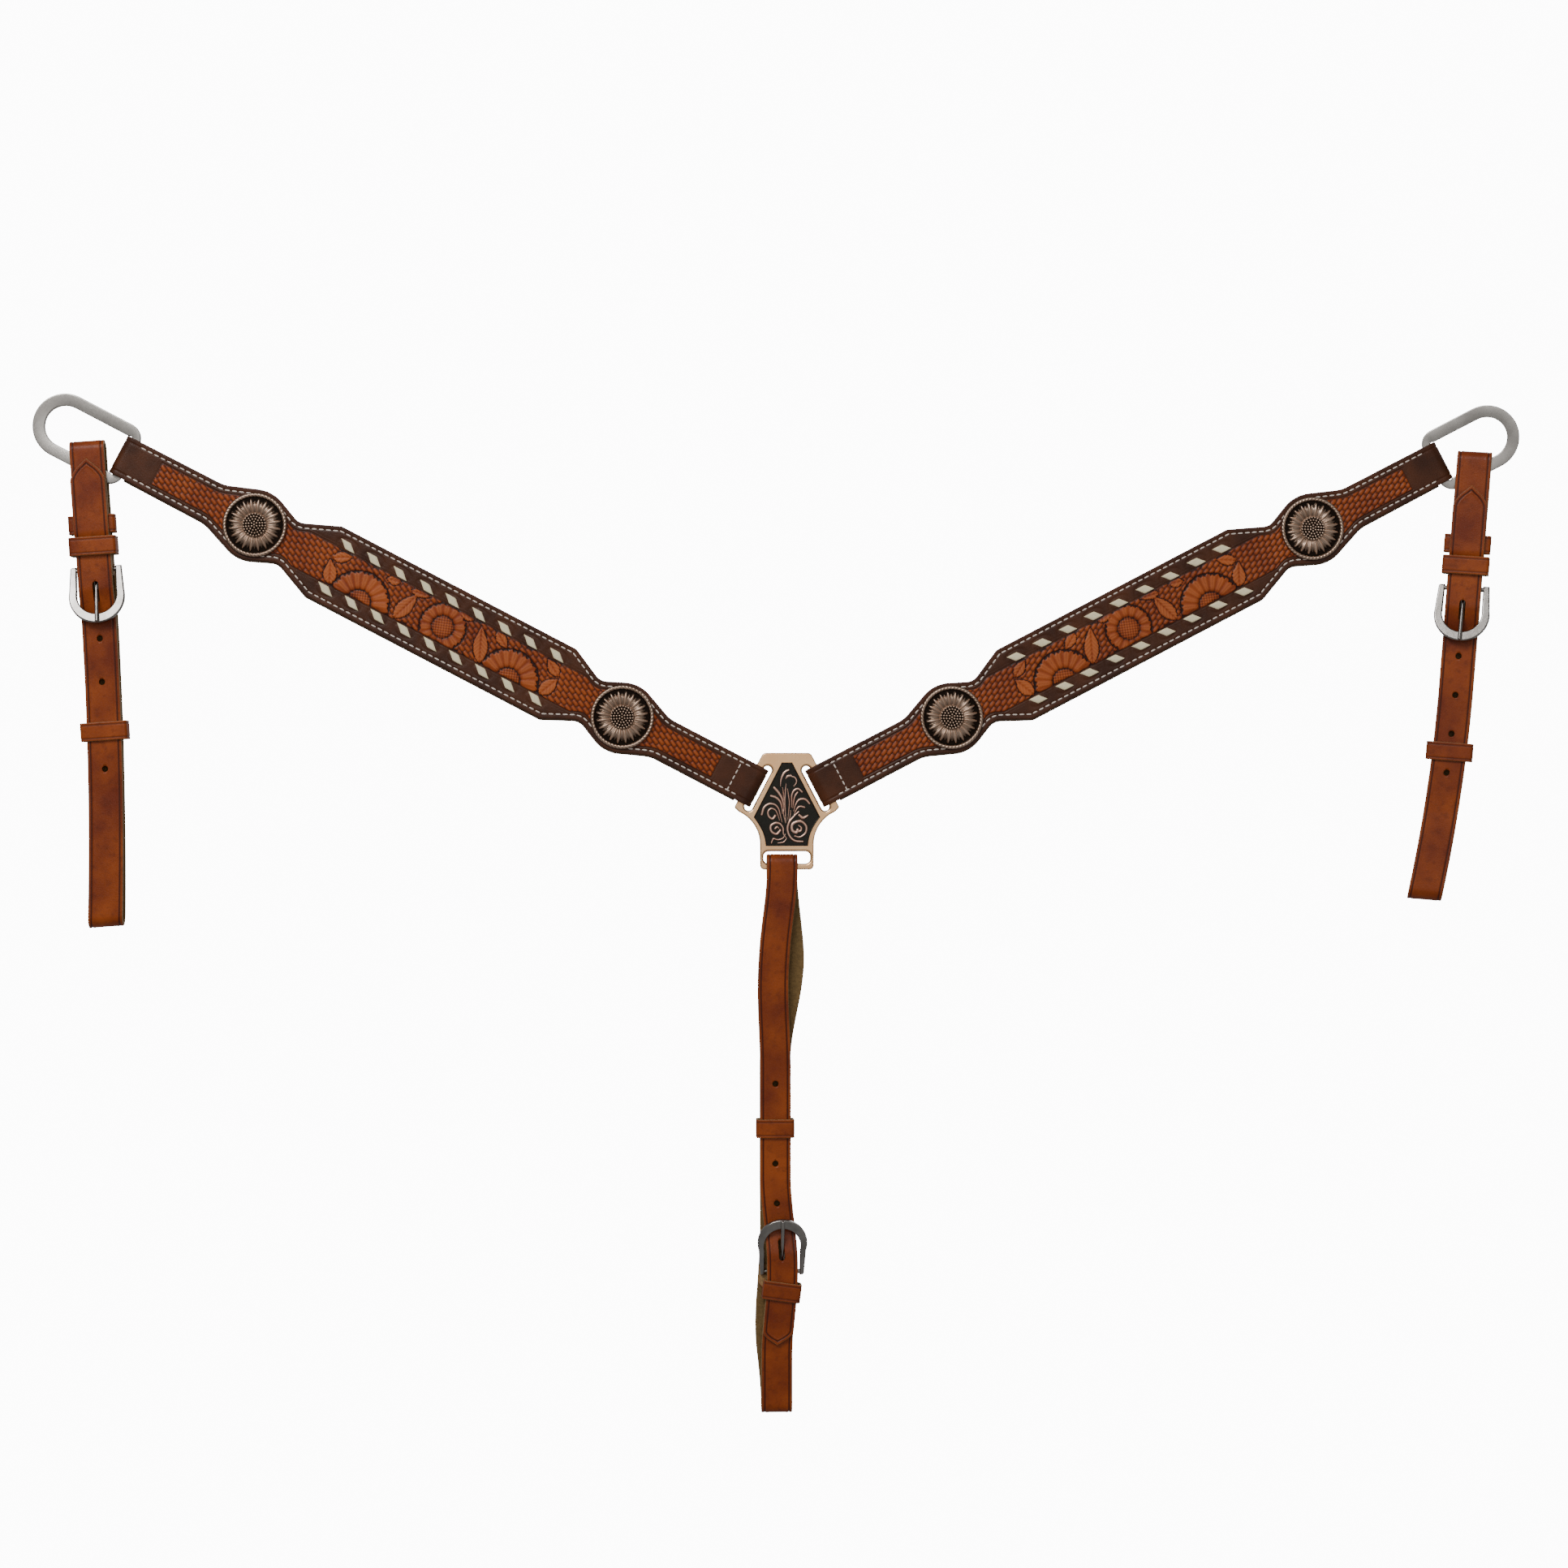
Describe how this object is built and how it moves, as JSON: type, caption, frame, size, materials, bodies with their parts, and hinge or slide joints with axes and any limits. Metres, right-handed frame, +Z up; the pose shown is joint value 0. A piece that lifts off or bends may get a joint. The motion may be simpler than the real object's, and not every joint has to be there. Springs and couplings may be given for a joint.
{
  "type": "breastplate",
  "caption": "Western breast collar: Y-shaped tooled leather shoulder straps on a copper yoke plate, with dees, buckled tugs and a buckled girth strap.",
  "frame": {"origin": "middle of the yoke plate's back face, which lies on the horse's chest", "axes": "+X to the right seen from the front, +Y towards the horse's chest, +Z up"},
  "size_m": [0.9118, 0.0276, 0.6244],
  "materials": {
    "tooled_leather": "tooled chestnut leather with a dark brown painted border and cream stitching",
    "lining_leather": "smooth brown lining leather",
    "harness_leather": "smooth chestnut strap leather with raw tan edges",
    "rawhide": "cream rawhide lace",
    "bright_copper": "polished rose copper plating",
    "engraved_copper": "blackened copper with bright raised scrollwork",
    "antique_copper": "antiqued copper with dark recesses",
    "steel": "polished stainless steel"
  },
  "bodies": {
    "yoke": {"yoke_plate": "bright_copper", "yoke_insert": "engraved_copper"},
    "left_shoulder": {"left_shoulder_face": "tooled_leather", "left_shoulder_lining": "lining_leather", "left_lace_top": "rawhide", "left_lace_bottom": "rawhide", "left_concho_inner": "antique_copper", "left_concho_outer": "antique_copper", "left_concho_screw_inner": "steel", "left_concho_screw_outer": "steel"},
    "left_ring": {"left_dee": "steel"},
    "left_tug": {"left_tug_strap": "harness_leather", "left_tug_buckle": "steel", "left_tug_keeper_middle": "harness_leather", "left_tug_keeper_upper": "harness_leather"},
    "left_tongue": {"left_tug_tongue": "steel"},
    "left_keeper": {"left_tug_keeper_sliding": "harness_leather"},
    "right_shoulder": {"right_shoulder_face": "tooled_leather", "right_shoulder_lining": "lining_leather", "right_lace_top": "rawhide", "right_lace_bottom": "rawhide", "right_concho_inner": "antique_copper", "right_concho_outer": "antique_copper", "right_concho_screw_inner": "steel", "right_concho_screw_outer": "steel"},
    "right_ring": {"right_dee": "steel"},
    "right_tug": {"right_tug_strap": "harness_leather", "right_tug_buckle": "steel", "right_tug_keeper_middle": "harness_leather", "right_tug_keeper_upper": "harness_leather"},
    "right_tongue": {"right_tug_tongue": "steel"},
    "right_keeper": {"right_tug_keeper_sliding": "harness_leather"},
    "girth": {"girth_strap": "harness_leather", "girth_buckle": "steel", "girth_keeper_sewn": "harness_leather"},
    "girth_tongue": {"girth_tongue": "steel"},
    "girth_keeper": {"girth_keeper_sliding": "harness_leather"}
  },
  "joints": [
    {"name": "left_shoulder_fold", "type": "hinge", "parent": "yoke", "child": "left_shoulder", "pos_m": [-0.02224, -0.002, 0.01163], "axis": [-0.4633, 0, -0.8862], "range_deg": [-25, 80]},
    {"name": "left_dee_turn", "type": "hinge", "parent": "left_shoulder", "child": "left_ring", "pos_m": [-0.40322, -0.002, 0.2108], "axis": [-0.4633, 0, -0.8862], "range_deg": [-60, 60]},
    {"name": "left_tug_swing", "type": "hinge", "parent": "left_ring", "child": "left_tug", "pos_m": [-0.42615, -0.002, 0.2045], "axis": [0.8862, 0, -0.4633], "range_deg": [-30, 30]},
    {"name": "left_tongue_lift", "type": "hinge", "parent": "left_tug", "child": "left_tongue", "pos_m": [-0.42171, -0.0038, 0.14256], "axis": [-0.9974, 0, -0.0715], "range_deg": [0, 3]},
    {"name": "left_keeper_slide", "type": "slide", "parent": "left_tug", "child": "left_keeper", "axis": [-0.0715, 0, 0.9974], "range_m": [-0.03, 0.02]},
    {"name": "right_shoulder_fold", "type": "hinge", "parent": "yoke", "child": "right_shoulder", "pos_m": [0.02224, -0.002, 0.01163], "axis": [-0.4633, 0, 0.8862], "range_deg": [-25, 80]},
    {"name": "right_dee_turn", "type": "hinge", "parent": "right_shoulder", "child": "right_ring", "pos_m": [0.40322, -0.002, 0.2108], "axis": [-0.4633, 0, 0.8862], "range_deg": [-46, 74]},
    {"name": "right_tug_swing", "type": "hinge", "parent": "right_ring", "child": "right_tug", "pos_m": [0.42621, -0.00635, 0.20453], "axis": [0.8599, -0.2419, 0.4495], "range_deg": [-30, 30]},
    {"name": "right_tongue_lift", "type": "hinge", "parent": "right_tug", "child": "right_tongue", "pos_m": [0.42031, -0.00657, 0.13316], "axis": [-0.9597, 0.27, 0.0785], "range_deg": [0, 3]},
    {"name": "right_keeper_slide", "type": "slide", "parent": "right_tug", "child": "right_keeper", "axis": [0.0755, -0.0212, 0.9969], "range_m": [-0.03, 0.02]},
    {"name": "girth_swing", "type": "hinge", "parent": "yoke", "child": "girth", "pos_m": [-0.003, -0.002, -0.03885], "axis": [1, 0, 0], "range_deg": [-100, 100]},
    {"name": "girth_tongue_lift", "type": "hinge", "parent": "girth", "child": "girth_tongue", "pos_m": [-0.003, -0.0038, -0.28785], "axis": [1, 0, 0], "range_deg": [0, 3]},
    {"name": "girth_keeper_slide", "type": "slide", "parent": "girth", "child": "girth_keeper", "axis": [0, 0, -1], "range_m": [-0.03, 0.02]}
  ]
}
